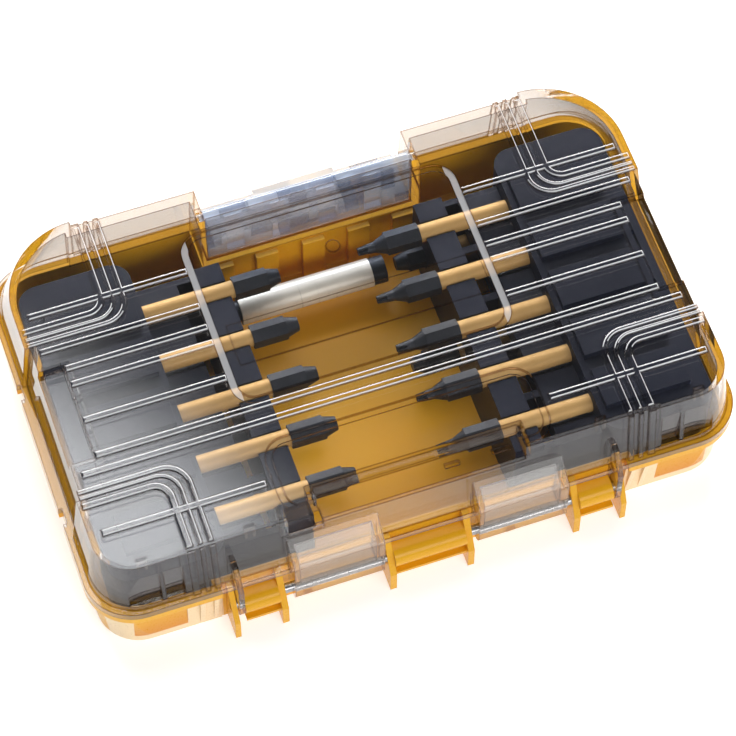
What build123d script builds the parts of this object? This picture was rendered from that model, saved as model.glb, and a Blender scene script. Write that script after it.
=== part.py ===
from build123d import *
import os
from math import atan2, cos, degrees, radians

os.makedirs("parts", exist_ok=True)

# Whole case: X is the long side, hinge at -Y, latch at +Y, Z up, base on Z = 0
case_height = 46.5
seam_z = 22.0
wall = 2.0
flange_half_x = 100.0
flange_half_y = 61.75
flange_corner = 15.0
flange_thick = 2.5
flange_notch_depth = 1.2
flange_notch_width = 5.0
flange_notch_y = (19.5, -24.0)
hinge_zone_half_x = 62.6

# Hinge: one axis along X, outside the front wall
axis_y = -61.9
axis_z = 13.5
pin_radius = 1.5
pin_turn_gap = 0.05
barrel_radius = 3.5
barrel_gap = 0.3
wall_face_y = axis_y + barrel_radius + barrel_gap + 0.1
knuckle_front_y = -66.25
knuckle_front_z = 9.0
knuckle_top_y = -60.0
knuckle_top_z = 21.5
cheek_thick = 2.0
outer_cheek_thick = 1.7
centre_knuckle_half_x = 13.1
end_knuckle_x = (44.4, 60.9)
lip_z = 7.4
lip_thick = 1.2
lip_front_y = -65.4
end_slot_x = (48.5, 56.0)
end_slot_y = -63.6
arm_x = (14.5, 42.0)
arm_front_y = -65.4
arm_shoulder_z = 30.0
arm_slope_top_y = -54.6
arm_slope_top_z = 39.6
ear_x = (57.3, 59.0)
ear_bottom_radius = 4.0
pin_x = (6.0, 60.7)

# Latch: swings about an axis along X, high in the far recess
recess_half_x = 32.7
recess_wall_y = 46.5
latch_half_x = 32.2
latch_axis_y = 49.2
latch_axis_z = 42.2
latch_barrel_radius = 2.0
latch_wall = 1.7
latch_step = 2.2
latch_bay = 7.3
latch_bay_x = (-27.0, -12.4, 2.2, 16.8)
latch_foot_z = 22.3
latch_plate_thick = 1.6
latch_plate_y = 63.6
trunnion_radius = 1.2
trunnion_gap = 0.06
trunnion_reach = 1.6
tab_x = (-12.5, 13.5)
tab_outer_y = 66.25
tab_bottom_z = 16.9
hook_tip_y = 60.8
hook_gap = 0.3

# Lid shell, seen from outside
lid_plate_z = 45.8
ridge_height = case_height - lid_plate_z
ridge_width = 2.2
ridge_bevel = 0.5
ridge_bury = 0.3
ridge_end_x = 92.0
panel_half_x = 43.0
upper_panel_y = (-17.9, 42.5)
lower_panel_half_x = 41.0
lower_panel_y = (-55.75, -30.75)
groove_width = 2.0
groove_depth = 0.6
label_x = (-38.0, 40.0)
label_height = 0.3
label_y = (-4.75, 9.25)
side_ridge_y = (30.75, 18.25, 10.75, 5.25, -7.25, -43.75)
recess_ridge_y = -19.25
long_ridge_y = -24.25
pad_ring_x = (62.6, 65.8, 68.7)
pad_ring_back_y = (20.8, 22.9, 25.2)
pad_ring_front_y = (-28.5, -30.6, -32.9)
pad_ring_width = (1.6, 1.3, 2.2)
pad_ring_corner = (8.0, 7.0, 6.0)
top_margin = 0.9
side_recess_x = 86.5
side_recess_y = (-19.75, 12.25)
side_recess_z = 43.0
ledge_half_x = 31.0
ledge_z = 40.0
ledge_back_y = -49.25
low_ledge_x = (-41.0, -31.0)
low_ledge_z = 37.0
low_ledge_back_y = -53.0
rib_root = 1.3
rib_reach = 0.7
rib_z = (seam_z + flange_thick - 0.5, 45.5)
ledge_slot_x = ((8.0, 12.5), (22.4, 28.0))
ledge_slot_y = (-53.0, -51.6)
ledge_slot_depth = 0.8
clip_y = (-54.6, -53.6)
clip_half_x = 1.6
clip_hole_half_x = 0.8
clip_z = (38.0, 41.6)
gate_at = (0.4, 25.0)
gate_radius = 2.1
gate_height = 0.4
window_x = ((79.8, 89.3), (72.9, 78.6))
window_z = (26.0, 40.5)
window_inner_y = -58.2
clip_x = (-83.7, -51.6, 55.0, 85.5)

# Bits: two tiers of rows, left and right, tips towards the middle
row_pitch = 17.8
row_y = tuple(30.4 - row_pitch * row for row in range(5))
upper_z = 28.8
lower_z = 15.5
shank_flats = 6.35
socket_gap = 0.05
socket_depth = 10.4
shank_end_x = 68.0
socket_face_x = 58.0
sleeve_radius = 2.7
sleeve_end_x = 29.5
core_radius = 1.8
body_end_x = 16.6
tip_end_x = 10.0
tip_radius = 1.7
blunt_end_x = 15.0
blunt_end_radius = 2.1
flute_length = 3.0
flute_width = 1.5
flute_pitch = 2.6
lower_row_shift = {1: 7.0, 3: 0.0}

# Trays
block_outer_x = 92.4
block_y = (-54.6, 47.5)
block_corner = 6.0
block_top_z = 34.0
block_pad_z = 36.5
tray_floor_z = wall + 0.1
comb_x = (31.0, 40.0)
comb_y = (-50.0, 40.0)
comb_top_z = 30.0
deck_inner_x = 45.0
deck_z = (20.0, 27.0)
saddle_gap = 0.25
cell_wall = 2.0
cell_x = (72.0, 90.4)
cell_top_z = 31.8

# Magnetic holder, lying under the first row
holder_y = 30.6
holder_z = 14.6
holder_tube_radius = 4.5
holder_tube_x = (-28.0, 14.0)
holder_rod_radius = 3.3
holder_gap = 0.06
holder_shank_end_x = -66.0
holder_rod_x = (-40.0, 4.0)
holder_socket_x = -3.0
holder_mouth_x = 18.5
holder_collar_radius = 4.3
magnet_radius = 2.4


# Shared shapes
def tier(outline, radius, inward, z_low, z_high, mode=Mode.ADD):
    """Rounded block over x0, x1, y0, y1 whose sides lean in by inward at the top."""
    x0, x1, y0, y1 = outline
    lean = degrees(atan2(inward, z_high - z_low))
    with BuildSketch(Plane.XY.offset(z_low)) as foot:
        with Locations(((x0 + x1) / 2, (y0 + y1) / 2)):
            RectangleRounded(x1 - x0, y1 - y0, radius)
    extrude(foot.sketch, amount=z_high - z_low, taper=lean, mode=mode)


def block(x0, x1, y0, y1, z0, z1, mode=Mode.ADD):
    """Plain box between its limits."""
    with Locations(((x0 + x1) / 2, (y0 + y1) / 2, (z0 + z1) / 2)):
        Box(abs(x1 - x0), abs(y1 - y0), abs(z1 - z0), mode=mode)


def slice_x(points, x0, x1, mode=Mode.ADD):
    """Profile in Y and Z, drawn out along X."""
    with BuildSketch(Plane.YZ.offset(min(x0, x1))) as profile:
        with BuildLine():
            Polyline(*points, close=True)
        make_face()
    extrude(profile.sketch, amount=abs(x1 - x0), dir=(1, 0, 0), mode=mode)


def slice_y(points, y0, y1, mode=Mode.ADD):
    """Profile in X and Z, drawn out along Y."""
    with BuildSketch(Plane.XZ.offset(-y0)) as profile:
        with BuildLine():
            Polyline(*points, close=True)
        make_face()
    extrude(profile.sketch, amount=y1 - y0, dir=(0, 1, 0), mode=mode)


def rod_x(y, z, radius, x0, x1, mode=Mode.ADD):
    """Round bar along X."""
    with BuildSketch(Plane.YZ.offset(min(x0, x1))) as profile:
        with Locations((y, z)):
            Circle(radius)
    extrude(profile.sketch, amount=abs(x1 - x0), dir=(1, 0, 0), mode=mode)


def hex_x(y, z, flats, x0, x1, mode=Mode.ADD):
    """Hexagonal bar along X, a corner up."""
    with BuildSketch(Plane.YZ.offset(min(x0, x1))) as profile:
        with Locations((y, z)):
            RegularPolygon(flats / 2, 6, major_radius=False, rotation=30)
    extrude(profile.sketch, amount=abs(x1 - x0), dir=(1, 0, 0), mode=mode)


def cone_x(y, z, x0, r0, x1, r1, mode=Mode.ADD):
    """Round taper along X from radius r0 at x0 to r1 at x1."""
    faces = []
    for x, radius in sorted(((x0, r0), (x1, r1))):
        with BuildSketch(Plane.YZ.offset(x)) as ring:
            with Locations((y, z)):
                Circle(radius)
        faces.append(ring.sketch.face())
    loft(faces, mode=mode)


def knuckle(x0, x1, left_cheek, right_cheek):
    """Two cheeks, a barrel on the hinge axis and a lip under it."""
    cheek = (
        (wall_face_y, 0),
        (knuckle_front_y, 0),
        (knuckle_front_y, knuckle_front_z),
        (knuckle_top_y, knuckle_top_z),
        (wall_face_y, knuckle_top_z),
    )
    slice_x(cheek, x0, x0 + left_cheek)
    slice_x(cheek, x1 - right_cheek, x1)
    return x0 + left_cheek, x1 - right_cheek


# Base shell
base_foot = (-97.0, 97.0, -58.25, 59.0)
base_lean_out = 1.6
base_corner = 13.0
base_flange_z = seam_z - flange_thick
channel_wall_y = (recess_wall_y - 1.9, recess_wall_y)
channel_half_x = 34.9
channel_outer_y = 57.6
ledge_block_x = (-29.0, -14.8, 0.0, 14.6, 29.0)
ledge_block_width = 7.0
ledge_block_reach = 2.0
ledge_block_z = 21.2
rim_notch_x = (-26.6, -11.8, 2.6, 17.5)
rim_notch_width = 4.7
panel_x = (73.0, 89.0)
panel_z = (3.5, 16.5)
panel_back_y = -58.6
gusset_x = (64.4, 68.6)
gusset_width = 1.4
nub_x = (-36.5, 27.0)

with BuildPart() as base_shell:
    tier(base_foot, base_corner, -base_lean_out, 0, base_flange_z)
    with BuildSketch(Plane.XY.offset(base_flange_z)):
        RectangleRounded(2 * flange_half_x, 2 * flange_half_y, flange_corner)
    extrude(amount=flange_thick)
    inner_foot = (base_foot[0] + wall, base_foot[1] - wall, base_foot[2] + wall, base_foot[3] - wall)
    tier(inner_foot, base_corner - wall, -base_lean_out, wall, seam_z + 0.5, mode=Mode.SUBTRACT)
    # Flat strip of front wall behind the hinge
    block(-hinge_zone_half_x - wall, hinge_zone_half_x + wall, wall_face_y, wall_face_y + wall, 1.0, seam_z)
    block(-hinge_zone_half_x, hinge_zone_half_x, -70, wall_face_y, -1, seam_z + 1, mode=Mode.SUBTRACT)
    # Channel under the latch: an inner wall with five ledge blocks
    block(-channel_half_x, channel_half_x, channel_wall_y[0], channel_wall_y[1], 1.0, seam_z)
    for side in (-1, 1):
        block(side * channel_half_x, side * (channel_half_x - 1.9), channel_wall_y[0], channel_outer_y + 1.0, 1.0, seam_z)
    for x in ledge_block_x:
        half = ledge_block_width / 2
        block(x - half, x + half, channel_wall_y[0] - ledge_block_reach, channel_wall_y[0] + 0.5, 1.0, ledge_block_z)
    # Notches in the rim behind the latch
    for x in rim_notch_x:
        half = rim_notch_width / 2
        block(x - half, x + half, flange_half_y - 1.0, flange_half_y + 1.0, base_flange_z - 1, seam_z + 1, mode=Mode.SUBTRACT)
    # The latch hooks under this bevelled edge
    slice_x(
        ((flange_half_y + 0.5, base_flange_z - 0.5), (flange_half_y + 0.5, base_flange_z + 1.8), (flange_half_y - 2.2, base_flange_z - 0.5)),
        tab_x[0] - 1.5,
        tab_x[1] + 1.5,
        mode=Mode.SUBTRACT,
    )
    # Small notches in the flange at both ends
    for side in (-1, 1):
        for y in flange_notch_y:
            half = flange_notch_width / 2
            block(
                side * (flange_half_x - flange_notch_depth),
                side * (flange_half_x + 1),
                y - half,
                y + half,
                base_flange_z - 1,
                seam_z + 1,
                mode=Mode.SUBTRACT,
            )
    # Front wall: a sunk panel near each corner, gussets beside the hinge
    for side in (-1, 1):
        block(side * panel_x[0], side * panel_x[1], -62, panel_back_y, panel_z[0], panel_z[1], mode=Mode.SUBTRACT)
        for x in gusset_x:
            slice_x(
                ((-57.5, 1.0), (-58.4, 1.0), (-61.5, base_flange_z), (-57.5, base_flange_z)),
                side * x - gusset_width / 2,
                side * x + gusset_width / 2,
            )
    for x in nub_x:
        block(x - 1.2, x + 1.2, wall_face_y - 1.6, wall_face_y + 0.5, 0, 3.2)
    # Hinge knuckles
    spans = [(-centre_knuckle_half_x, centre_knuckle_half_x, cheek_thick, cheek_thick)]
    spans.append((end_knuckle_x[0], end_knuckle_x[1], cheek_thick, outer_cheek_thick))
    spans.append((-end_knuckle_x[1], -end_knuckle_x[0], outer_cheek_thick, cheek_thick))
    for x0, x1, left_cheek, right_cheek in spans:
        in0, in1 = knuckle(x0, x1, left_cheek, right_cheek)
        # An end barrel stops short of the lid's ear
        if x0 > 0:
            in1 = ear_x[0] - 0.3
        if x1 < 0:
            in0 = 0.3 - ear_x[0]
        rod_x(axis_y, axis_z, barrel_radius, in0, in1)
        block(in0, in1, axis_y, wall_face_y + 0.5, lip_z, axis_z + barrel_radius)
        block(in0, in1, lip_front_y, wall_face_y + 0.5, lip_z, lip_z + lip_thick)
        block(in0, in1, -63.6, axis_y, lip_z, axis_z)
    for side in (-1, 1):
        block(
            side * end_slot_x[0],
            side * end_slot_x[1],
            -66.5,
            end_slot_y,
            lip_z + lip_thick,
            lip_z + lip_thick + 2.2,
            mode=Mode.SUBTRACT,
        )
    rod_x(axis_y, axis_z, pin_radius, -pin_x[1], -pin_x[0], mode=Mode.SUBTRACT)
    rod_x(axis_y, axis_z, pin_radius, pin_x[0], pin_x[1], mode=Mode.SUBTRACT)
    for side in (-1, 1):
        rod_x(axis_y, axis_z, pin_radius, side * 60.0, side * 62.0, mode=Mode.SUBTRACT)
base_shell.part.label = "base_shell"
export_step(base_shell.part, "parts/base_shell.step")

# Lid shell
lid_foot = (-98.7, 98.7, -60.5, 61.6)
lid_lean_in = 2.9
lid_corner = 14.5
lid_front_corner = 11.5
lid_back_corner = 25.0
side_step_x = (97.4, 94.2)
side_step_y = (-31.5, 21.0)
back_step_y = (60.0, 56.9)
front_step_y = (-60.0, -57.0)
end_step_x = 71.0
lid_inner_top = lid_plate_z - wall
top_half_x = lid_foot[1] - lid_lean_in - top_margin
top_y = (lid_foot[2] + lid_lean_in + top_margin, lid_foot[3] - lid_lean_in - top_margin)
top_step_y = (front_step_y[1] + top_margin, back_step_y[1] - top_margin)
ring_span = 60.0
pad_rings = tuple(zip(pad_ring_x, pad_ring_back_y, pad_ring_front_y, pad_ring_width, pad_ring_corner))


def lid_outline(z, inset, front_corner, back_corner):
    """Outline of the lid at one height, its back corners rounder than its front ones."""
    with BuildSketch(Plane.XY.offset(z)) as outline:
        with Locations(((lid_foot[0] + lid_foot[1]) / 2, (lid_foot[2] + lid_foot[3]) / 2)):
            Rectangle(lid_foot[1] - lid_foot[0] - 2 * inset, lid_foot[3] - lid_foot[2] - 2 * inset)
        fillet(outline.vertices().group_by(Axis.Y)[0], front_corner)
        fillet(outline.vertices().group_by(Axis.Y)[-1], back_corner)
    return outline.sketch.face()


def lid_body(shrink, z_low, z_high):
    """Lid block with its four corner bumpers, all sides moved in by shrink."""
    low = lid_outline(z_low, shrink, lid_corner - shrink, lid_corner - shrink)
    high = lid_outline(z_high, shrink + lid_lean_in, lid_front_corner - shrink, lid_back_corner - shrink)
    loft([low, high], ruled=True)
    reach = 110.0
    for side in (-1, 1):
        step = (
            (side * (side_step_x[0] - shrink), z_low - 0.01),
            (side * (side_step_x[1] - shrink), z_high + 0.01),
            (side * reach, z_high + 0.01),
            (side * reach, z_low - 0.01),
        )
        slice_y(step, side_step_y[0] - shrink, side_step_y[1] + shrink, mode=Mode.SUBTRACT)
    for toward, (y_low, y_high) in ((1, back_step_y), (-1, front_step_y)):
        step = (
            (y_low - toward * shrink, z_low - 0.01),
            (y_high - toward * shrink, z_high + 0.01),
            (toward * reach, z_high + 0.01),
            (toward * reach, z_low - 0.01),
        )
        slice_x(step, -end_step_x - shrink, end_step_x + shrink, mode=Mode.SUBTRACT)


# Raised lines on the lid: ridges from the panel to each end, and three rings round each corner pad
with BuildPart() as raised_lines:
    with BuildSketch(Plane.XY.offset(lid_plate_z - ridge_bury)):
        for side in (-1, 1):
            for y in side_ridge_y:
                outer = side_recess_x if side_recess_y[0] < y < side_recess_y[1] else ridge_end_x
                with Locations((side * (panel_half_x + outer) / 2, y)):
                    Rectangle(outer - panel_half_x, ridge_width)
        with Locations((0, recess_ridge_y)):
            Rectangle(2 * side_recess_x, ridge_width)
        with Locations((0, long_ridge_y)):
            Rectangle(2 * ridge_end_x, ridge_width)
        for ring_x, back_y, front_y, width, corner in pad_rings:
            for inner_y, toward in ((back_y, 1), (front_y, -1)):
                for side in (-1, 1):
                    with BuildSketch(mode=Mode.PRIVATE) as ring:
                        with Locations((side * (ring_x + ring_span / 2), inner_y + toward * ring_span / 2)):
                            RectangleRounded(ring_span, ring_span, corner)
                            RectangleRounded(ring_span - 2 * width, ring_span - 2 * width, corner - width, mode=Mode.SUBTRACT)
                    add(ring.sketch)
        with BuildSketch(mode=Mode.PRIVATE) as top_outline:
            with Locations((0, (top_y[0] + top_y[1]) / 2)):
                Rectangle(2 * top_half_x, top_y[1] - top_y[0])
            fillet(top_outline.vertices().group_by(Axis.Y)[0], lid_front_corner - top_margin)
            fillet(top_outline.vertices().group_by(Axis.Y)[-1], lid_back_corner - top_margin)
            for step_y, toward in ((top_step_y[1], 1), (top_step_y[0], -1)):
                with Locations((0, step_y + toward * ring_span / 2)):
                    Rectangle(2 * end_step_x, ring_span, mode=Mode.SUBTRACT)
        add(top_outline.sketch, mode=Mode.INTERSECT)
    extrude(amount=ridge_height + ridge_bury)
    chamfer(raised_lines.faces().group_by(Axis.Z)[-1].edges(), ridge_bevel)

with BuildPart() as lid_shell:
    lid_body(0.0, seam_z, lid_plate_z)
    with BuildSketch(Plane.XY.offset(seam_z)):
        RectangleRounded(2 * flange_half_x, 2 * flange_half_y, flange_corner)
    extrude(amount=flange_thick)
    for side in (-1, 1):
        for y in flange_notch_y:
            half = flange_notch_width / 2
            block(
                side * (flange_half_x - flange_notch_depth),
                side * (flange_half_x + 1),
                y - half,
                y + half,
                seam_z - 1,
                seam_z + flange_thick,
                mode=Mode.SUBTRACT,
            )
    # Recess at each end and the ledge along the front edge
    for side in (-1, 1):
        block(side * side_recess_x, side * 101, side_recess_y[0], side_recess_y[1], side_recess_z, 50, mode=Mode.SUBTRACT)
    block(-ledge_half_x, ledge_half_x, -70, ledge_back_y, ledge_z, 50, mode=Mode.SUBTRACT)
    block(low_ledge_x[0], low_ledge_x[1] + 0.5, -70, low_ledge_back_y, low_ledge_z, 50, mode=Mode.SUBTRACT)
    # Latch recess, open to the back
    block(-recess_half_x, recess_half_x, recess_wall_y, 70, seam_z - 1, 50, mode=Mode.SUBTRACT)
    # Hollow inside, made as one solid so the walls keep their thickness
    with BuildPart(mode=Mode.PRIVATE) as lid_hollow:
        lid_body(wall, seam_z - 0.5, lid_inner_top)
        inset = recess_half_x + wall
        block(-inset, inset, recess_wall_y - wall, 70, 0, 50, mode=Mode.SUBTRACT)
        for side in (-1, 1):
            block(
                side * (side_recess_x - wall),
                side * 101,
                side_recess_y[0] - wall,
                side_recess_y[1] + wall,
                side_recess_z - wall,
                50,
                mode=Mode.SUBTRACT,
            )
        inset = ledge_half_x + wall
        block(-inset, inset, -70, ledge_back_y + wall, ledge_z - wall, 50, mode=Mode.SUBTRACT)
        block(low_ledge_x[0] - wall, -inset + 0.5, -70, low_ledge_back_y + wall, low_ledge_z - wall, 50, mode=Mode.SUBTRACT)
    add(lid_hollow.part, mode=Mode.SUBTRACT)
    # Top: raised lines, sunk panel outlines, label plate and gate mark
    add(raised_lines.part)
    ridge_z = lid_plate_z - ridge_bury
    for half_x, (y0, y1) in ((panel_half_x, upper_panel_y), (lower_panel_half_x, lower_panel_y)):
        with BuildSketch(Plane.XY.offset(lid_plate_z - groove_depth)):
            with Locations((0, (y0 + y1) / 2)):
                RectangleRounded(2 * half_x, y1 - y0, 7.0)
                RectangleRounded(2 * half_x - 2 * groove_width, y1 - y0 - 2 * groove_width, 5.0, mode=Mode.SUBTRACT)
        extrude(amount=2.0, mode=Mode.SUBTRACT)
    block(label_x[0], label_x[1], label_y[0], label_y[1], ridge_z, lid_plate_z + label_height)
    with BuildSketch(Plane.XY.offset(ridge_z)):
        with Locations(gate_at):
            Circle(gate_radius)
    extrude(amount=gate_height + ridge_bury)
    # Front wall windows under the top rail
    for side in (-1, 1):
        for x0, x1 in window_x:
            block(side * x0, side * x1, -62, window_inner_y, window_z[0], window_z[1], mode=Mode.SUBTRACT)
    # Pad contour ribs down the walls at the corners
    for side in (-1, 1):
        for x, width in zip(pad_ring_x, pad_ring_width):
            for toward, (y_low, y_high) in ((1, back_step_y), (-1, front_step_y)):
                rib = (
                    (y_low - toward * rib_root, rib_z[0]),
                    (y_low + toward * rib_reach, rib_z[0]),
                    (y_high + toward * rib_reach, rib_z[1]),
                    (y_high - toward * rib_root, rib_z[1]),
                )
                slice_x(rib, side * x, side * (x + width))
    # Slots in the front ledge and loops behind the top rail
    for x0, x1 in ledge_slot_x:
        block(x0, x1, ledge_slot_y[0], ledge_slot_y[1], ledge_z - ledge_slot_depth, ledge_z + 1, mode=Mode.SUBTRACT)
    for x in clip_x:
        block(x - clip_half_x, x + clip_half_x, clip_y[0], clip_y[1], clip_z[0], lid_inner_top + 0.5)
        hole_x = (x - clip_hole_half_x, x + clip_hole_half_x)
        block(hole_x[0], hole_x[1], clip_y[0] - 0.2, clip_y[1] + 0.2, clip_z[0], clip_z[1], mode=Mode.SUBTRACT)
    # Hinge arms: hollow boxes with a sloped shoulder and a barrel at the foot
    arm = (
        (-57.0, seam_z),
        (-57.0, arm_slope_top_z - 2.0),
        (arm_slope_top_y, arm_slope_top_z),
        (arm_front_y, arm_shoulder_z),
        (arm_front_y, axis_z),
        (axis_y, axis_z),
        (axis_y + barrel_radius, axis_z),
        (axis_y + barrel_radius, seam_z),
    )
    arm_hollow = (
        (axis_y + barrel_radius + 0.1, axis_z + barrel_radius),
        (axis_y + barrel_radius + 0.1, seam_z),
        (front_step_y[0] - 0.05, seam_z),
        (front_step_y[0] + 1.4, 33.3),
        (arm_front_y + wall, arm_shoulder_z - 0.9),
        (arm_front_y + wall, axis_z + barrel_radius),
    )
    for side in (-1, 1):
        slice_x(arm, side * arm_x[0], side * arm_x[1])
        rod_x(axis_y, axis_z, barrel_radius, side * arm_x[0], side * arm_x[1])
    for side in (-1, 1):
        slice_x(arm_hollow, side * (arm_x[0] + wall), side * (arm_x[1] - wall), mode=Mode.SUBTRACT)
        # Ear at the outer end of each end knuckle
        ear = (
            (-58.6, 34.0),
            (-61.9, 33.0),
            (axis_y - ear_bottom_radius + 0.4, 26.0),
            (axis_y - ear_bottom_radius + 0.4, axis_z),
            (axis_y + barrel_radius, axis_z),
            (axis_y + barrel_radius, seam_z),
            (-57.4, seam_z),
        )
        slice_x(ear, side * ear_x[0], side * ear_x[1])
        rod_x(axis_y, axis_z, ear_bottom_radius - 0.45, side * ear_x[0], side * ear_x[1])
        rod_x(axis_y, axis_z, pin_radius + pin_turn_gap, side * (arm_x[0] - 1), side * (ear_x[1] + 1), mode=Mode.SUBTRACT)
    # Holes for the latch trunnions in the walls of the recess
    rod_x(latch_axis_y, latch_axis_z, trunnion_radius + trunnion_gap, -recess_half_x - wall - 0.5, -recess_half_x + 1, mode=Mode.SUBTRACT)
    rod_x(latch_axis_y, latch_axis_z, trunnion_radius + trunnion_gap, recess_half_x - 1, recess_half_x + wall + 0.5, mode=Mode.SUBTRACT)
lid_shell.part.label = "lid_shell"
export_step(lid_shell.part, "parts/lid_shell.step")

# Latch flap
latch_in_y = latch_axis_y - latch_barrel_radius
with BuildPart() as latch_flap:
    rod_x(latch_axis_y, latch_axis_z, latch_barrel_radius, -latch_half_x, latch_half_x)
    edges = [-latch_half_x]
    for x in latch_bay_x:
        edges += [x, x + latch_bay]
    edges.append(latch_half_x)
    for index in range(len(edges) - 1):
        shift = latch_step if index % 2 else 0.0
        x0 = edges[index] - (latch_wall / 2 if index else 0)
        x1 = edges[index + 1] + (latch_wall / 2 if index < len(edges) - 2 else 0)
        inner = latch_in_y + shift
        block(x0, x1, inner, inner + latch_wall, latch_foot_z + 0.2, latch_axis_z)
    block(-latch_half_x, latch_half_x, latch_in_y, latch_plate_y, latch_foot_z, latch_foot_z + latch_plate_thick)
    # Lift tab with the hook that snaps under the rim of the base
    tab_profile = (
        (latch_plate_y - 2.0, latch_foot_z + latch_plate_thick),
        (tab_outer_y - 1.4, latch_foot_z + latch_plate_thick),
        (tab_outer_y, latch_foot_z + 0.4),
        (tab_outer_y, tab_bottom_z + 1.0),
        (tab_outer_y - 0.6, tab_bottom_z),
        (hook_tip_y + 1.4, tab_bottom_z),
        (hook_tip_y, tab_bottom_z + 0.8),
        (flange_half_y + hook_gap, base_flange_z + 1.8 - hook_gap),
        (flange_half_y + hook_gap, latch_foot_z),
        (latch_plate_y - 2.0, latch_foot_z),
    )
    slice_x(tab_profile, tab_x[0], tab_x[1])
    for side in (-1, 1):
        rod_x(latch_axis_y, latch_axis_z, trunnion_radius, side * (latch_half_x - 0.5), side * (latch_half_x + trunnion_reach))
latch_flap.part.label = "latch_flap"
export_step(latch_flap.part, "parts/latch_flap.step")

# Hinge pins
for side, name in ((-1, "hinge_pin_left"), (1, "hinge_pin_right")):
    with BuildPart() as hinge_pin:
        rod_x(axis_y, axis_z, pin_radius, side * pin_x[0], side * pin_x[1])
        chamfer(hinge_pin.edges().filter_by(GeomType.CIRCLE), 0.4)
    hinge_pin.part.label = name
    export_step(hinge_pin.part, "parts/" + name + ".step")

# Trays
tier_rows = [(y, upper_z) for y in row_y]
low_rows = {-1: [], 1: [(row_y[row - 1], lower_z) for row in lower_row_shift]}

for side, name in ((-1, "left_tray"), (1, "right_tray")):
    with BuildPart() as tray:
        x_in = side * socket_face_x
        x_out = side * block_outer_x
        with BuildSketch(Plane.XY.offset(tray_floor_z)):
            with Locations(((x_in + x_out) / 2, sum(block_y) / 2)):
                RectangleRounded(abs(x_out - x_in), block_y[1] - block_y[0], block_corner)
        extrude(amount=block_top_z - tray_floor_z)
        # Raised pads on top, one over each row
        for y in row_y:
            block(side * (socket_face_x + 2), side * (block_outer_x - 6), y - 6.4, y + 6.4, block_top_z - 1, block_pad_z)
        # Hollow cells underneath, between cross walls
        for y in row_y:
            half = row_pitch / 2 - cell_wall / 2
            block(side * cell_x[0], side * cell_x[1], y - half, y + half, 0, cell_top_z, mode=Mode.SUBTRACT)
        # Comb that carries the sleeves, deck behind it and the two side rails
        block(side * comb_x[0], side * comb_x[1], comb_y[0], comb_y[1], tray_floor_z, comb_top_z)
        block(side * deck_inner_x, side * (socket_face_x + 1), comb_y[0], comb_y[1], deck_z[0], deck_z[1])
        for y0 in (comb_y[0], comb_y[1] - cell_wall):
            block(side * comb_x[0], side * (socket_face_x + 1), y0, y0 + cell_wall, tray_floor_z, deck_z[1])
        for y in row_y[1:]:
            middle = y + row_pitch / 2
            block(side * (comb_x[1] - 1), side * (deck_inner_x + 1), middle - 1.2, middle + 1.2, deck_z[0], deck_z[1])
        saddle = sleeve_radius + saddle_gap
        passage = shank_flats / 2 / cos(radians(30)) + saddle_gap
        for y, z in tier_rows:
            rod_x(y, z, saddle, side * (comb_x[0] - 1), side * (comb_x[1] + 1), mode=Mode.SUBTRACT)
            block(
                side * (comb_x[0] - 1),
                side * (comb_x[1] + 1),
                y - saddle,
                y + saddle,
                z,
                block_pad_z + 5,
                mode=Mode.SUBTRACT,
            )
            rod_x(y, z, passage, side * (deck_inner_x - 1), x_in, mode=Mode.SUBTRACT)
        for y, z in low_rows[side]:
            rod_x(y, z, saddle + 1.2, side * (comb_x[0] - 1), side * (comb_x[1] + 1), mode=Mode.SUBTRACT)
        if side < 0:
            rod_x(holder_y, holder_z, holder_tube_radius + 0.5, side * (comb_x[0] - 1), side * (comb_x[1] + 1), mode=Mode.SUBTRACT)
        # Hexagonal sockets
        for y, z in tier_rows + low_rows[side]:
            hex_x(y, z, shank_flats + 2 * socket_gap, x_in, side * (socket_face_x + socket_depth), mode=Mode.SUBTRACT)
        if side < 0:
            hex_x(holder_y, holder_z, shank_flats + 2 * socket_gap, x_in, side * (socket_face_x + socket_depth), mode=Mode.SUBTRACT)
    tray.part.label = name
    export_step(tray.part, "parts/" + name + ".step")


# Bits and their sleeves
def make_bit(name, side, y, z, shift, blunt):
    """Hexagonal shank, slim core, hexagonal barrel body and working tip."""
    def at(x):
        return side * (x + shift)

    with BuildPart() as bit:
        hex_x(y, z, shank_flats, at(socket_face_x), side * shank_end_x)
        rod_x(y, z, core_radius, at(sleeve_end_x - 1), at(socket_face_x + 1) if shift < 1 else side * shank_end_x)
        hex_x(y, z, shank_flats, at(body_end_x + 2.2), at(sleeve_end_x))
        body_corner = shank_flats / 2 / 0.866
        if blunt:
            cone_x(y, z, at(body_end_x + 2.2), body_corner - 0.5, at(blunt_end_x), blunt_end_radius)
        else:
            cone_x(y, z, at(body_end_x + 2.2), body_corner - 0.5, at(body_end_x - 1.4), tip_radius)
            cone_x(y, z, at(body_end_x - 1.4), tip_radius, at(tip_end_x), tip_radius - 0.5)
            with BuildSketch(Plane.YZ.offset(min(at(tip_end_x), at(tip_end_x + flute_length)))):
                with Locations((y, z)):
                    with GridLocations(flute_pitch, flute_pitch, 2, 2):
                        Rectangle(flute_width, flute_width)
            extrude(amount=flute_length, mode=Mode.SUBTRACT)
    bit.part.label = name
    export_step(bit.part, "parts/" + name + ".step")
    return at


def make_sleeve(name, side, y, z, shift):
    """Plain tube round the core of a bit."""
    with BuildPart() as sleeve:
        rod_x(y, z, sleeve_radius, side * (sleeve_end_x + shift), side * (socket_face_x - 0.2))
        rod_x(y, z, core_radius, side * (sleeve_end_x + shift - 1), side * socket_face_x, mode=Mode.SUBTRACT)
    sleeve.part.label = name
    export_step(sleeve.part, "parts/" + name + ".step")


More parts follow.
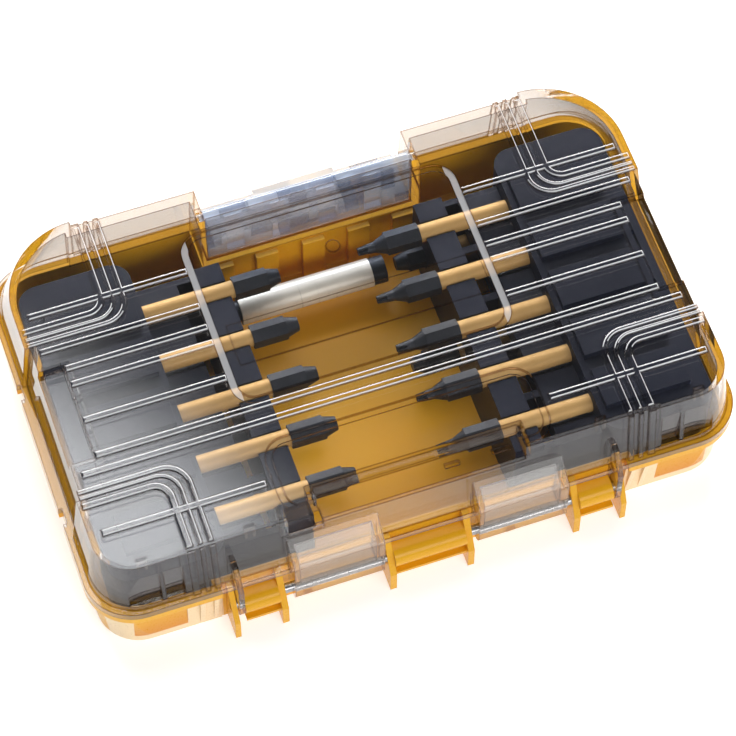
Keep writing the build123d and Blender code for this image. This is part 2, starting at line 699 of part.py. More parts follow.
for side, word in ((-1, "left"), (1, "right")):
    for row, y in enumerate(row_y, start=1):
        make_bit(word + "_bit_" + str(row), side, y, upper_z, 0.0, side < 0)
        make_sleeve(word + "_sleeve_" + str(row), side, y, upper_z, 0.0)
for row, shift in lower_row_shift.items():
    y = row_y[row - 1]
    make_bit("lower_bit_" + str(row), 1, y, lower_z, shift, True)
    make_sleeve("lower_sleeve_" + str(row), 1, y, lower_z, shift)

# Magnetic holder
with BuildPart() as holder_shank:
    hex_x(holder_y, holder_z, shank_flats, holder_shank_end_x, holder_rod_x[0])
    rod_x(holder_y, holder_z, holder_rod_radius, holder_rod_x[0], holder_rod_x[1])
    hex_x(holder_y, holder_z, 5.2, holder_socket_x, holder_rod_x[1] + 1, mode=Mode.SUBTRACT)
    rod_x(holder_y, holder_z, magnet_radius, holder_socket_x - 4.0, holder_socket_x, mode=Mode.SUBTRACT)
holder_shank.part.label = "holder_shank"
export_step(holder_shank.part, "parts/holder_shank.step")

with BuildPart() as holder_magnet:
    rod_x(holder_y, holder_z, magnet_radius, holder_socket_x - 4.0, holder_socket_x)
holder_magnet.part.label = "holder_magnet"
export_step(holder_magnet.part, "parts/holder_magnet.step")

with BuildPart() as holder_tube:
    rod_x(holder_y, holder_z, holder_tube_radius, holder_tube_x[0], holder_tube_x[1])
    rod_x(holder_y, holder_z, holder_rod_radius + holder_gap, holder_tube_x[0] - 1, holder_tube_x[1] + 1, mode=Mode.SUBTRACT)
holder_tube.part.label = "holder_tube"
export_step(holder_tube.part, "parts/holder_tube.step")

with BuildPart() as holder_collar:
    rod_x(holder_y, holder_z, holder_collar_radius, holder_tube_x[1], holder_mouth_x)
    hex_x(holder_y, holder_z, shank_flats + 0.3, holder_tube_x[1] - 1, holder_mouth_x + 1, mode=Mode.SUBTRACT)
holder_collar.part.label = "holder_collar"
export_step(holder_collar.part, "parts/holder_collar.step")
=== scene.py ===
"""Bit set case: finishes, light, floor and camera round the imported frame."""

import math

import bpy
from bpy.props import FloatProperty, FloatVectorProperty, PointerProperty
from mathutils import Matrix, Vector

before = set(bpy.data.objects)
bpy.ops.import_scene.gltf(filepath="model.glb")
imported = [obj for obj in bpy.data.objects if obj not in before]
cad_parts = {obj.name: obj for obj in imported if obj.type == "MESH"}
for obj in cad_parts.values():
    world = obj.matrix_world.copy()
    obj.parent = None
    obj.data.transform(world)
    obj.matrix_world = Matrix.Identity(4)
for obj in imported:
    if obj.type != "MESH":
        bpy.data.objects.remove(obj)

bl_info = {
    "name": "Bit set case",
    "version": (1, 0, 0),
    "blender": (4, 5, 0),
    "location": "3D View > Sidebar > Bit set case",
    "description": "Dresses the packed bit set case: clear lid, amber base, dark trays, bits and holder",
    "category": "Object",
}

# Heights on the lid, in metres: just over its plate, and half way up the bevel of a raised line
OVER_PLATE = 0.04584
HALF_BEVEL = 0.04622

# Places on the mouldings, in metres, as (axis, side of the limit, limit), with X taken without its sign
# Sides of the panel's groove, where a painted highlight goes
PANEL_GROOVE = (
    ("X", "GREATER_THAN", 0.0405),
    ("X", "LESS_THAN", 0.047),
    ("Y", "GREATER_THAN", -0.022),
    ("Y", "LESS_THAN", 0.044),
    ("Z", "GREATER_THAN", 0.04515),
    ("Z", "LESS_THAN", 0.04577),
)
# Front corners of the base, made paler by painted light
FRONT_CORNERS = (("X", "GREATER_THAN", 0.062), ("Y", "LESS_THAN", -0.052), ("Z", "LESS_THAN", 0.0185))
PANEL_FOOT, PANEL_HEAD = 0.0035, 0.0165
# Sunk panels of the base, darkened towards their foot by painted shade
SUNK_PANELS = (
    ("X", "GREATER_THAN", 0.073),
    ("X", "LESS_THAN", 0.089),
    ("Y", "LESS_THAN", -0.057),
    ("Z", "GREATER_THAN", PANEL_FOOT),
    ("Z", "LESS_THAN", PANEL_HEAD),
)

# Clear plastic: how much the lid and the latch bend light, and how much their gloss does
LID_INDEX, LATCH_INDEX, GLOSS_INDEX = 1.045, 1.12, 1.5
# Width of its waves and of its mottle, in metres
CLEAR_WAVE, CLEAR_GRAIN = 0.018, 0.02
# How far round a corner the painted corner shade reaches, in metres, and the cosines between which that painted
# shade comes in
CORNER_REACH, CORNER_COSINES = 0.0009, (0.995, 0.93)

# Painted highlights and painted shade on the raised lines: how far round a bevel the painted highlight reaches, the
# way that counts as leaning back, and the limits
LINE_REACH = 0.0005
BACKWARD = (0.25, 1.0, 0.0)
BACK_LEAN, FRONT_LEAN = 0.12, -0.3
# Colours of the painted highlight on the raised lines and of the painted shade at their foot
PAINTED_HIGHLIGHT_COLOUR, PAINTED_SHADE_COLOUR = (0.93, 0.93, 0.95, 1.0), (0.02, 0.022, 0.03, 1.0)

# Opaque plastic: width and depth of its waves, width and depth of its grain, width of its colour patches
SOLID_WAVE, SOLID_WAVE_DEPTH = 0.03, 0.00003
SOLID_GRAIN, SOLID_GRAIN_DEPTH = 0.0005, 0.000002
PATCH_SIZE = 0.035

# Metals: metallic, roughness, width and depth of the fine lines, strength of the stain
METALS = {
    "sleeve_gold": (0.2, 0.6, 0.0003, 0.000004, 0.10),
    "bit_black": (0.5, 0.45, 0.0002, 0.000003, 0.35),
    "holder_steel": (0.15, 0.35, 0.0004, 0.0000008, 0.10),
    "plain_steel": (1.0, 0.3, 0.0003, 0.000003, 0.2),
}
STAIN_SIZE = 0.006


def millimetres(name, description, default, low=0.0, high=1.0):
    """A length property given in metres."""
    return FloatProperty(
        name=name, description=description, default=default, min=low, max=high, unit="LENGTH", precision=5
    )


def share(name, description, default):
    """A number from 0 to 1."""
    return FloatProperty(name=name, description=description, default=default, min=0.0, max=1.0, subtype="FACTOR")


def tint(name, description, default):
    """A colour property in linear red, green and blue."""
    return FloatVectorProperty(
        name=name, description=description, default=default, size=3, min=0.0, max=1.0, subtype="COLOR"
    )


def brightness(name, description, default, high=50.0):
    """How bright a light is."""
    return FloatProperty(name=name, description=description, default=default, min=0.0, max=high)


def half_angle(name, description, degrees):
    """An angle property given in degrees."""
    return FloatProperty(
        name=name, description=description, default=math.radians(degrees), min=0.0, max=1.5, subtype="ANGLE"
    )


def point(name, description, default):
    """A place in metres."""
    return FloatVectorProperty(
        name=name, description=description, default=default, size=3, subtype="TRANSLATION", unit="LENGTH"
    )


class ClearFinish(bpy.types.PropertyGroup):
    """Clear mouldings."""

    lid_tint: tint("Lid tint", "Colour that light keeps in the lid", (0.985, 0.972, 0.955))
    # Painted shade: the lid's colour where it is seen at a slant, and along its corners with an amber cast
    painted_slant_shade: tint("Slant tint", "Colour that light keeps where the lid is seen at a slant", (0.42, 0.39, 0.37))
    painted_corner_shade: tint("Line tint", "Colour that light keeps along the corners of the lid", (0.24, 0.15, 0.11))
    # Painted highlights on the raised lines and the sides of the panel's groove, and painted shade at the foot of
    # each raised line
    painted_edge_highlight: share("Edge light", "How strongly the raised lines of the lid catch the light", 0.85)
    painted_groove_highlight: share("Groove light", "How strongly the sides of the panel's groove catch the light", 0.4)
    painted_foot_shade: share("Foot dark", "How dark the foot of each raised line is", 0.7)
    latch_tint: tint("Latch tint", "Colour that light keeps in the latch flap", (0.80, 0.88, 1.0))
    latch_clearness: share("Latch clearness", "How much of the latch is clear and not milky", 0.7)
    # Block size of the painted light and shade that stands in for the latch's ribs
    rib_pitch: millimetres("Rib pitch", "Width of the ribs seen in the latch", 0.0092)
    roughness: share("Roughness", "How matt the clear plastic is", 0.03)
    round_over: millimetres("Round-over", "Radius seen on the moulded edges", 0.00035)
    wave_depth: millimetres("Wave depth", "Depth of the soft flow waves in the moulding", 0.000015)


class BaseFinish(bpy.types.PropertyGroup):
    """Opaque base."""

    colour: tint("Colour", "Amber of the base", (0.82, 0.42, 0.012))
    deep_colour: tint("Deep colour", "Amber of its deeper patches", (0.72, 0.30, 0.006))
    # Painted light on the pale front corners, and painted shade at the foot of the sunk panels
    painted_corner_light: tint("Cream", "Pale front corners of the base", (0.90, 0.68, 0.40))
    painted_panel_shade: tint("Panel foot", "Deep orange at the foot of the sunk panels", (0.70, 0.25, 0.0))
    roughness: share("Roughness", "How matt the base is", 0.28)
    round_over: millimetres("Round-over", "Radius seen on the moulded edges", 0.0003)


class TrayFinish(bpy.types.PropertyGroup):
    """Dark trays."""

    colour: tint("Colour", "Charcoal of the trays", (0.006, 0.009, 0.024))
    roughness: share("Roughness", "How matt the trays are", 0.42)
    round_over: millimetres("Round-over", "Radius seen on the moulded edges", 0.00025)


class BitFinish(bpy.types.PropertyGroup):
    """Bits, sleeves and holder."""

    sleeve_colour: tint("Sleeve colour", "Pale gold of the sleeves", (0.55, 0.34, 0.12))
    bit_colour: tint("Bit colour", "Black oxide on the bits", (0.02, 0.024, 0.034))
    steel_colour: tint("Steel colour", "Satin steel of the holder", (0.80, 0.76, 0.68))
    pin_colour: tint("Pin colour", "Plain steel of the hinge pins and the magnet", (0.45, 0.45, 0.46))


class StageSettings(bpy.types.PropertyGroup):
    """Floor, light and camera."""

    lens: FloatProperty(
        name="Lens",
        description="Focal length of the fitted camera",
        default=164.9,
        min=10.0,
        max=500.0,
        subtype="DISTANCE_CAMERA",
    )
    eye: point("Eye", "Where the camera stands", (-0.1602, -0.4715, 0.8979))
    target: point("Target", "What the camera looks at", (0.00514, 0.00687, 0.0))
    room_light: brightness("Room light", "Brightness of the room all round", 0.1, 5.0)
    top_light: brightness("Top light", "Brightness of the round light overhead", 6.5)
    top_light_direction: FloatVectorProperty(
        name="Top light direction",
        description="Where the round light hangs",
        default=(-0.02, 0.38, 0.925),
        size=3,
        subtype="XYZ",
    )
    top_light_inner: half_angle("Top light core", "Half angle of its even core", 7.0)
    top_light_outer: half_angle("Top light edge", "Half angle where it ends", 10.0)
    back_light: brightness("Back light", "Brightness of the long light behind", 14.0)
    front_light: brightness("Front light", "Brightness of the long light in front", 4.0)
    side_light: brightness("Side light", "Brightness of the light on the right", 2.0)
    floor_colour: tint("Floor colour", "Pale floor", (0.85, 0.85, 0.85))
    floor_glow: brightness("Floor glow", "Light that the pale floor gives of itself", 0.55, 5.0)
    floor_size: millimetres("Floor size", "Width of the floor", 6.0, 0.5, 20.0)


# Node building
def feed(tree, socket, value):
    """Links a socket to an input, or sets the input to a plain number or vector."""
    if isinstance(value, bpy.types.NodeSocket):
        tree.links.new(value, socket)
    else:
        socket.default_value = value


def new_material(name):
    """Empty material with its output node."""
    material = bpy.data.materials.new(name)
    material.use_nodes = True
    tree = material.node_tree
    tree.nodes.clear()
    output = tree.nodes.new("ShaderNodeOutputMaterial")
    return material, tree, output


def add_node(tree, kind, inputs=(), **settings):
    """New node with its settings made and its inputs fed, as (name or number, value) pairs."""
    made = tree.nodes.new(kind)
    for key, value in settings.items():
        setattr(made, key, value)
    for key, value in inputs:
        feed(tree, made.inputs[key], value)
    return made


def calculate(tree, operation, first, second):
    """A Math node on two numbers or sockets."""
    return add_node(tree, "ShaderNodeMath", ((0, first), (1, second)), operation=operation).outputs[0]


def dot_product(tree, first, second):
    """How far one vector goes along another."""
    made = add_node(tree, "ShaderNodeVectorMath", ((0, first), (1, second)), operation="DOT_PRODUCT")
    return made.outputs["Value"]


def carry(tree, value, source, target, **settings):
    """A value carried from one span of numbers to another."""
    ends = zip(("From Min", "From Max", "To Min", "To Max"), (*source, *target))
    return add_node(tree, "ShaderNodeMapRange", (("Value", value), *ends), **settings).outputs["Result"]


def spread(tree, value, low, high):
    """The usual span of a noise carried to low and high."""
    return carry(tree, value, (0.3, 0.7), (low, high))


def blend_colours(tree, value, first, second):
    """Colour between first and second by value, each a socket or a plain colour."""
    pair = [c if isinstance(c, bpy.types.NodeSocket) else (*c, 1.0) for c in (first, second)]
    inputs = (("Factor", value), ("A", pair[0]), ("B", pair[1]))
    return add_node(tree, "ShaderNodeMix", inputs, data_type="RGBA").outputs["Result"]


def blend_shaders(tree, value, first, second):
    """Shader between first and second by value."""
    return add_node(tree, "ShaderNodeMixShader", ((0, value), (1, first), (2, second))).outputs[0]


def object_point(tree, scale=(1.0, 1.0, 1.0)):
    """Object coordinates, stretched by scale."""
    coordinates = add_node(tree, "ShaderNodeTexCoord").outputs["Object"]
    return add_node(tree, "ShaderNodeMapping", (("Vector", coordinates), ("Scale", scale))).outputs["Vector"]


def noise(tree, place, size, detail=2.0, roughness=0.5):
    """Noise whose features are about size metres wide."""
    inputs = (("Vector", place), ("Scale", 1.0 / size), ("Detail", detail), ("Roughness", roughness))
    return add_node(tree, "ShaderNodeTexNoise", inputs).outputs["Fac"]


def place_mask(tree, limits):
    """1 inside limits given as (axis, side of the limit, metres), with X taken without its sign, and the height."""
    place = add_node(tree, "ShaderNodeSeparateXYZ", ((0, object_point(tree)),)).outputs
    across = calculate(tree, "ABSOLUTE", place["X"], 0.0)
    values = {"X": across, "Y": place["Y"], "Z": place["Z"]}
    total = None
    for axis, side, limit in limits:
        part = calculate(tree, side, values[axis], limit)
        total = part if total is None else calculate(tree, "MULTIPLY", total, part)
    return total, place["Z"]


# Surface of the mouldings
SURFACE_INPUTS = ("Wave size", "Wave depth", "Grain size", "Grain depth", "Edge radius")


def moulded_normal():
    """Shader group: soft flow waves, a fine grain and rounded edges, as a normal, with a mottle."""
    name = "moulded_surface"
    if name in bpy.data.node_groups:
        return bpy.data.node_groups[name]
    group = bpy.data.node_groups.new(name, "ShaderNodeTree")
    for key in SURFACE_INPUTS:
        group.interface.new_socket(name=key, in_out="INPUT", socket_type="NodeSocketFloat")
    group.interface.new_socket(name="Normal", in_out="OUTPUT", socket_type="NodeSocketVector")
    group.interface.new_socket(name="Mottle", in_out="OUTPUT", socket_type="NodeSocketFloat")
    inside = add_node(group, "NodeGroupInput").outputs
    place = add_node(group, "ShaderNodeTexCoord").outputs["Object"]
    heights, textures = [], []
    for part, detail in (("Wave", 1.0), ("Grain", 3.0)):
        density = calculate(group, "DIVIDE", 1.0, inside[part + " size"])
        inputs = (("Vector", place), ("Scale", density), ("Detail", detail))
        textures.append(add_node(group, "ShaderNodeTexNoise", inputs).outputs["Fac"])
        heights.append(calculate(group, "MULTIPLY", textures[-1], inside[part + " depth"]))
    total = calculate(group, "ADD", *heights)
    edge = add_node(group, "ShaderNodeBevel", (("Radius", inside["Edge radius"]),), samples=4).outputs["Normal"]
    lumps = (("Strength", 1.0), ("Distance", 1.0), ("Height", total), ("Normal", edge))
    bump = add_node(group, "ShaderNodeBump", lumps).outputs["Normal"]
    add_node(group, "NodeGroupOutput", (("Normal", bump), ("Mottle", textures[1])))
    return group


def place_surface(tree, shader, values, low, high):
    """Puts the moulded surface group into a material, with its gloss mottled from low to high."""
    made = add_node(tree, "ShaderNodeGroup", node_tree=moulded_normal())
    for key, value in zip(SURFACE_INPUTS, values):
        made.inputs[key].default_value = value
    feed(tree, shader.inputs["Normal"], made.outputs["Normal"])
    feed(tree, shader.inputs["Roughness"], spread(tree, made.outputs["Mottle"], low, high))


# Clear plastic
def corner_mask(tree):
    """1 along the corners of the moulding, where painted shade goes, 0 on its flats."""
    soft = add_node(tree, "ShaderNodeBevel", (("Radius", CORNER_REACH),), samples=8).outputs["Normal"]
    flat = add_node(tree, "ShaderNodeNewGeometry").outputs["True Normal"]
    return carry(tree, dot_product(tree, soft, flat), CORNER_COSINES, (0.0, 1.0))


def clear_plastic(name, colour, slant_shade_colour, corner_shade_colour, index, roughness, wave_depth, edge_radius, clearness):
    """Clear moulding that lets lamps through to what lies under it, its colour darkened by painted shade where it
    is seen at a slant and along its corners.
    """
    material, tree, output = new_material(name)
    plain = (
        ("IOR", index),
        ("Metallic", 0.0),
        ("Transmission Weight", clearness),
        ("Coat Weight", 1.0),
        ("Coat IOR", GLOSS_INDEX),
        ("Coat Roughness", roughness),
    )
    shader = add_node(tree, "ShaderNodeBsdfPrincipled", plain)
    surface = (CLEAR_WAVE, wave_depth, CLEAR_GRAIN, 0.0, edge_radius)
    place_surface(tree, shader, surface, roughness * 0.6, roughness * 1.6)
    # Painted shade: darker colour where the lid is seen at a slant, and darker still along its corners
    slant = add_node(tree, "ShaderNodeLayerWeight", (("Blend", 0.5),)).outputs["Facing"]
    walls = blend_colours(tree, slant, colour, slant_shade_colour)
    feed(tree, shader.inputs["Base Color"], blend_colours(tree, corner_mask(tree), walls, corner_shade_colour))
    paler = (*[0.5 + 0.5 * c for c in colour], 1.0)
    through = add_node(tree, "ShaderNodeBsdfTransparent", (("Color", paler),)).outputs[0]
    ray = add_node(tree, "ShaderNodeLightPath").outputs
    last = shader.outputs[0]
    for kind in ("Is Shadow Ray", "Is Diffuse Ray"):
        last = blend_shaders(tree, ray[kind], last, through)
    feed(tree, output.inputs["Surface"], last)
    return material, shader, output, last


def toward_back(tree, normal):
    """How far a world normal leans to the back of the lid, in the lid's own frame."""
    ends = {"vector_type": "NORMAL", "convert_from": "WORLD", "convert_to": "OBJECT"}
    turned = add_node(tree, "ShaderNodeVectorTransform", ((0, normal),), **ends).outputs[0]
    return dot_product(tree, turned, BACKWARD)


def painted_line_masks(tree, painted_groove_highlight):
    """Masks for the painted highlight on the back edge, with the sides of the panel's groove, the painted highlight
    on the front edge and the painted shade at the foot of each raised line.
    """
    height = add_node(tree, "ShaderNodeSeparateXYZ", ((0, object_point(tree)),)).outputs["Z"]
    raised = calculate(tree, "GREATER_THAN", height, OVER_PLATE)
    upper = calculate(tree, "GREATER_THAN", height, HALF_BEVEL)
    lower = calculate(tree, "LESS_THAN", height, HALF_BEVEL)
    soft = add_node(tree, "ShaderNodeBevel", (("Radius", LINE_REACH),), samples=8).outputs["Normal"]
    flat = add_node(tree, "ShaderNodeNewGeometry").outputs["True Normal"]
    behind = calculate(tree, "GREATER_THAN", toward_back(tree, soft), BACK_LEAN)
    front = calculate(tree, "LESS_THAN", toward_back(tree, flat), FRONT_LEAN)
    groove = calculate(tree, "MULTIPLY", place_mask(tree, PANEL_GROOVE)[0], painted_groove_highlight)
    back = calculate(tree, "MAXIMUM", calculate(tree, "MULTIPLY", behind, upper), groove)
    ahead = calculate(tree, "MULTIPLY", front, upper)
    foot = calculate(tree, "MULTIPLY", calculate(tree, "MULTIPLY", front, raised), lower)
    return back, ahead, foot


def paint_line_light(tree, output, clear, s):
    """Lays painted highlights on the edges and painted shade at the foot of the raised lines over the clear
    plastic.
    """
    # A pale opaque shader laid on as the painted highlight, and a dark one as the painted shade
    lit = add_node(tree, "ShaderNodeBsdfPrincipled", (("Roughness", 0.35), ("Base Color", PAINTED_HIGHLIGHT_COLOUR)))
    dark = add_node(tree, "ShaderNodeBsdfPrincipled", (("Roughness", 0.2), ("Base Color", PAINTED_SHADE_COLOUR)))
    back, ahead, foot = painted_line_masks(tree, s.painted_groove_highlight)
    layers = ((back, lit, s.painted_edge_highlight), (ahead, lit, s.painted_edge_highlight * 0.8), (foot, dark, s.painted_foot_shade))
    last = clear
    for mask, shader, amount in layers:
        last = blend_shaders(tree, calculate(tree, "MULTIPLY", mask, amount), last, shader.outputs[0])
    feed(tree, output.inputs["Surface"], last)


def painted_rib_light(tree, pitch, first, pale):
    """Painted light and shade in blocks of pale blue-grey tones, standing in for what the ribs of the latch
    refract.
    """
    stretched = object_point(tree, (1.0 / pitch, 1.4 / pitch, 2.0 / pitch))
    cells = add_node(tree, "ShaderNodeVectorMath", ((0, stretched),), operation="FLOOR").outputs[0]
    pick = add_node(tree, "ShaderNodeTexWhiteNoise", (("Vector", cells),), noise_dimensions="3D").outputs["Value"]
    ramp = add_node(tree, "ShaderNodeValToRGB", ((0, pick),))
    ramp.color_ramp.interpolation = "CONSTANT"
    tones = ((0.0, first), (0.4, (0.42, 0.49, 0.64)), (0.7, pale))
    bands = ramp.color_ramp.elements
    while len(bands) < len(tones):
        bands.new(1.0)
    for band, (start, tone) in zip(bands, tones):
        band.position = start
        band.color = (*tone, 1.0)
    return ramp.outputs["Color"]


# Opaque plastic and metal
def solid_plastic(name, colour, deep, roughness, edge_radius, specular):
    """Opaque moulding with a slight mottle in colour and gloss."""
    material, tree, output = new_material(name)
    plain = (("IOR", 1.5), ("Metallic", 0.0), ("Specular IOR Level", specular))
    shader = add_node(tree, "ShaderNodeBsdfPrincipled", plain)
    surface = (SOLID_WAVE, SOLID_WAVE_DEPTH, SOLID_GRAIN, SOLID_GRAIN_DEPTH, edge_radius)
    place_surface(tree, shader, surface, roughness * 0.96, roughness * 1.05)
    patch = spread(tree, noise(tree, object_point(tree), PATCH_SIZE, 3.0), 0.0, 0.35)
    feed(tree, shader.inputs["Base Color"], blend_colours(tree, patch, colour, deep))
    feed(tree, output.inputs["Surface"], shader.outputs[0])
    return material, shader


def paint_front_light_and_shade(tree, shader, painted_corner_light, deep):
    """Paler front corners of the base, as painted light, round amber sunk panels with painted shade that deepens
    downward.
    """
    amber = shader.inputs["Base Color"].links[0].from_socket
    corner, _ = place_mask(tree, FRONT_CORNERS)
    panel, height = place_mask(tree, SUNK_PANELS)
    # Painted shade darkens the sunk panels towards their foot; painted light pales the front corners
    fall = carry(tree, height, (PANEL_HEAD, PANEL_FOOT), (0.0, 1.0))
    pale = blend_colours(tree, calculate(tree, "SUBTRACT", corner, panel), amber, painted_corner_light)
    last = blend_colours(tree, calculate(tree, "MULTIPLY", panel, fall), pale, deep)
    feed(tree, shader.inputs["Base Color"], last)


def turned_metal(name, colour):
    """Metal bar lying along X with fine lines round it and a faint stain."""
    metallic, roughness, line_size, line_depth, stain = METALS[name]
    material, tree, output = new_material(name)
    lines = noise(tree, object_point(tree, (1.0, 0.02, 0.02)), line_size, 2.0, 0.6)
    broad = noise(tree, object_point(tree), STAIN_SIZE, 3.0)
    darker = tuple(c * (1.0 - stain) for c in colour)
    bump = add_node(tree, "ShaderNodeBump", (("Distance", line_depth), ("Height", lines)))
    looks = (
        ("IOR", 1.5),
        ("Metallic", metallic),
        ("Roughness", spread(tree, lines, roughness * 0.75, roughness * 1.3)),
        ("Base Color", blend_colours(tree, spread(tree, broad, 0.0, 1.0), colour, darker)),
        ("Normal", bump.outputs["Normal"]),
    )
    shader = add_node(tree, "ShaderNodeBsdfPrincipled", looks)
    feed(tree, output.inputs["Surface"], shader.outputs[0])
    return material


def finish_nodes(material, *names):
    """Puts a material on CAD nodes."""
    for name in names:
        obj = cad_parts[name]
        obj.data.materials.clear()
        obj.data.materials.append(material)


# Stage
def studio_world(s):
    """Even dim room with one soft round light, seen mirrored in the left half of the lid."""
    world = bpy.data.worlds.new("studio")
    world.use_nodes = True
    tree = world.node_tree
    sky = tree.nodes["Background"]
    direction = add_node(tree, "ShaderNodeTexCoord").outputs["Generated"]
    toward = dot_product(tree, direction, Vector(s.top_light_direction).normalized())
    edges = (math.cos(s.top_light_outer), math.cos(s.top_light_inner))
    bright = carry(tree, toward, edges, (s.room_light, s.top_light), interpolation_type="SMOOTHSTEP")
    sky.inputs["Color"].default_value = (0.95, 0.97, 1.0, 1.0)
    feed(tree, sky.inputs["Strength"], bright)
    return world


def pale_floor(s):
    """Wide flat floor in two close pale tones."""
    half = s.floor_size / 2
    corners = ((-half, -half, 0.0), (half, -half, 0.0), (half, half, 0.0), (-half, half, 0.0))
    mesh = bpy.data.meshes.new("floor")
    mesh.from_pydata(corners, [], [(0, 1, 2, 3)])
    material, tree, output = new_material("pale_floor")
    tone = spread(tree, noise(tree, object_point(tree), 0.4, 2.0), 0.0, 1.0)
    second = tuple(c * 0.985 for c in s.floor_colour)
    looks = (
        ("Roughness", 0.6),
        ("Specular IOR Level", 0.2),
        ("Emission Color", (1.0, 1.0, 1.0, 1.0)),
        ("Emission Strength", s.floor_glow),
        ("Base Color", blend_colours(tree, tone, tuple(s.floor_colour), second)),
    )
    shader = add_node(tree, "ShaderNodeBsdfPrincipled", looks)
    feed(tree, output.inputs["Surface"], shader.outputs[0])
    mesh.materials.append(material)
    return bpy.data.objects.new("floor", mesh)


def facing(place, target):
    """Turn of an object at place whose own -Z looks at target."""
    return (Vector(target) - Vector(place)).to_track_quat("-Z", "Y").to_euler()


# Operators
class CASE_OT_stage(bpy.types.Operator):
    """Pale floor, soft lamps and the fitted camera."""

    bl_idname = "bitcase.stage"
    bl_label = "Stage"

    def execute(self, context):
        s = context.scene.case_stage
        scene = context.scene
        floor = pale_floor(s)
        scene.collection.objects.link(floor)
        scene.world = studio_world(s)
        for name, place, wide, tall, bright, colour in (
            ("back_softbox", (0.2, 1.3, 0.62), 1.3, 0.6, s.back_light, (1.0, 0.995, 0.98)),
            ("front_softbox", (0.15, -0.95, 0.62), 1.3, 0.5, s.front_light, (1.0, 1.0, 1.0)),
            ("right_softbox", (1.2, 0.1, 0.7), 0.8, 0.35, s.side_light, (0.98, 0.99, 1.0)),
        ):
            light = bpy.data.lights.new(name, "AREA")
            light.shape = "RECTANGLE"
            light.size, light.size_y = wide, tall
            light.energy = bright * math.pi * wide * tall
            light.color = colour
            lamp = bpy.data.objects.new(name, light)
            lamp.location = place
            lamp.rotation_euler = facing(place, (0.0, 0.0, 0.02))
            scene.collection.objects.link(lamp)
        view = bpy.data.cameras.new("photo_camera")
        view.lens = s.lens
        view.sensor_width = 36.0
        view.clip_start, view.clip_end = 0.05, 50.0
        camera = bpy.data.objects.new("photo_camera", view)
        camera.location = s.eye
        camera.rotation_euler = facing(s.eye, s.target)
        scene.collection.objects.link(camera)
        scene.camera = camera
        scene.view_settings.view_transform = "Standard"
        return {"FINISHED"}


class CASE_OT_clear_lid(bpy.types.Operator):
    """Clear plastic of the lid shell, with painted highlights and painted shade on its raised lines."""

    bl_idname = "bitcase.clear_lid"
    bl_label = "Clear lid"

    def execute(self, context):
        s = context.scene.case_clear
        tints = (tuple(s.lid_tint), tuple(s.painted_slant_shade), tuple(s.painted_corner_shade))
        made = clear_plastic("lid_clear", *tints, LID_INDEX, s.roughness, s.wave_depth, s.round_over, 1.0)
        material, _, output, clear = made
        paint_line_light(material.node_tree, output, clear, s)
        finish_nodes(material, "lid_shell")
        return {"FINISHED"}


class CASE_OT_latch(bpy.types.Operator):
    """Slightly blue, slightly milky plastic of the latch flap, with painted light and shade in blocks for its ribs.
    """

    bl_idname = "bitcase.latch"
    bl_label = "Latch flap"

    def execute(self, context):
        s = context.scene.case_clear
        colour = tuple(s.latch_tint)
        # Painted shade at a slant and along the corners, as on the lid
        slant = tuple(0.6 * c for c in colour)
        surface = (s.roughness * 2.0, s.wave_depth, s.round_over, s.latch_clearness)
        material, shader, _, _ = clear_plastic("latch_clear", colour, slant, slant, LATCH_INDEX, *surface)
        tree = material.node_tree
        # Painted light and shade in blocks, standing in for what the ribs refract
        feed(tree, shader.inputs["Base Color"], painted_rib_light(tree, s.rib_pitch, colour, (0.70, 0.78, 0.93)))
        finish_nodes(material, "latch_flap")
        return {"FINISHED"}


class CASE_OT_base(bpy.types.Operator):
    """Glossy amber plastic of the base shell, with painted light on its front corners and painted shade low in its
    sunk panels.
    """

    bl_idname = "bitcase.base"
    bl_label = "Base"

    def execute(self, context):
        s = context.scene.case_base
        colours = (tuple(s.colour), tuple(s.deep_colour))
        material, shader = solid_plastic("base_amber", *colours, s.roughness, s.round_over, 0.3)
        paint_front_light_and_shade(material.node_tree, shader, tuple(s.painted_corner_light), tuple(s.painted_panel_shade))
        finish_nodes(material, "base_shell")
        return {"FINISHED"}


class CASE_OT_trays(bpy.types.Operator):
    """Dark satin plastic of the trays."""

    bl_idname = "bitcase.trays"
    bl_label = "Trays"

    def execute(self, context):
        s = context.scene.case_trays
        colour = tuple(s.colour)
        deep = tuple(c * 0.6 for c in colour)
        material, _ = solid_plastic("tray_charcoal", colour, deep, s.roughness, s.round_over, 0.2)
        finish_nodes(material, "left_tray", "right_tray")
        return {"FINISHED"}


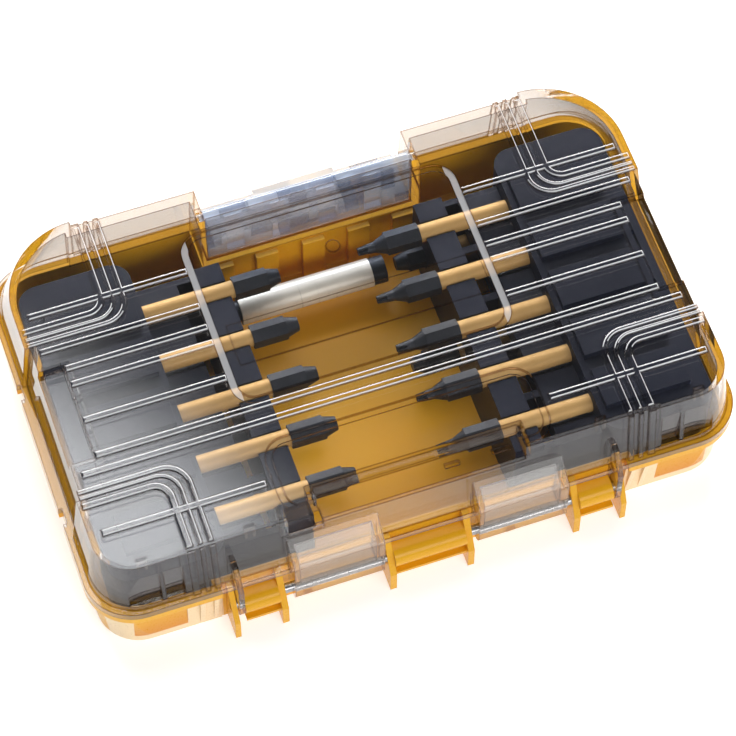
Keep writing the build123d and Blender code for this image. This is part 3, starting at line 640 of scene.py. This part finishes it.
class CASE_OT_bits(bpy.types.Operator):
    """Gold sleeves, black bits, steel holder and pins."""

    bl_idname = "bitcase.bits"
    bl_label = "Bits and holder"

    def execute(self, context):
        s = context.scene.case_bits
        sleeves = [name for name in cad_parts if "sleeve" in name]
        bits = [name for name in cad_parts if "_bit_" in name]
        finish_nodes(turned_metal("sleeve_gold", tuple(s.sleeve_colour)), *sleeves)
        finish_nodes(turned_metal("bit_black", tuple(s.bit_colour)), *bits, "holder_collar", "holder_shank")
        finish_nodes(turned_metal("holder_steel", tuple(s.steel_colour)), "holder_tube")
        plain = turned_metal("plain_steel", tuple(s.pin_colour))
        finish_nodes(plain, "hinge_pin_left", "hinge_pin_right", "holder_magnet")
        return {"FINISHED"}


STEPS = ("stage", "clear_lid", "latch", "base", "trays", "bits")


class CASE_PT_panel(bpy.types.Panel):
    """Sidebar list of the case's operators and settings."""

    bl_idname = "CASE_PT_panel"
    bl_label = "Bit set case"
    bl_space_type = "VIEW_3D"
    bl_region_type = "UI"
    bl_category = "Bit set case"

    def draw(self, context):
        column = self.layout.column()
        for step in STEPS:
            column.operator("bitcase." + step)
        for name, _ in GROUPS:
            settings = getattr(context.scene, name)
            box = column.box()
            for key in settings.__annotations__:
                box.prop(settings, key)


GROUPS = (
    ("case_clear", ClearFinish),
    ("case_base", BaseFinish),
    ("case_trays", TrayFinish),
    ("case_bits", BitFinish),
    ("case_stage", StageSettings),
)
CLASSES = (
    *(group for _, group in GROUPS),
    CASE_OT_stage,
    CASE_OT_clear_lid,
    CASE_OT_latch,
    CASE_OT_base,
    CASE_OT_trays,
    CASE_OT_bits,
    CASE_PT_panel,
)


def register():
    for cls in CLASSES:
        bpy.utils.register_class(cls)
    for name, group in GROUPS:
        setattr(bpy.types.Scene, name, PointerProperty(type=group))


def unregister():
    for name, _ in GROUPS:
        delattr(bpy.types.Scene, name)
    for cls in reversed(CLASSES):
        bpy.utils.unregister_class(cls)


def main():
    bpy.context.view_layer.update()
    register()
    for step in STEPS:
        getattr(bpy.ops.bitcase, step)()


if __name__ == "__main__":
    main()
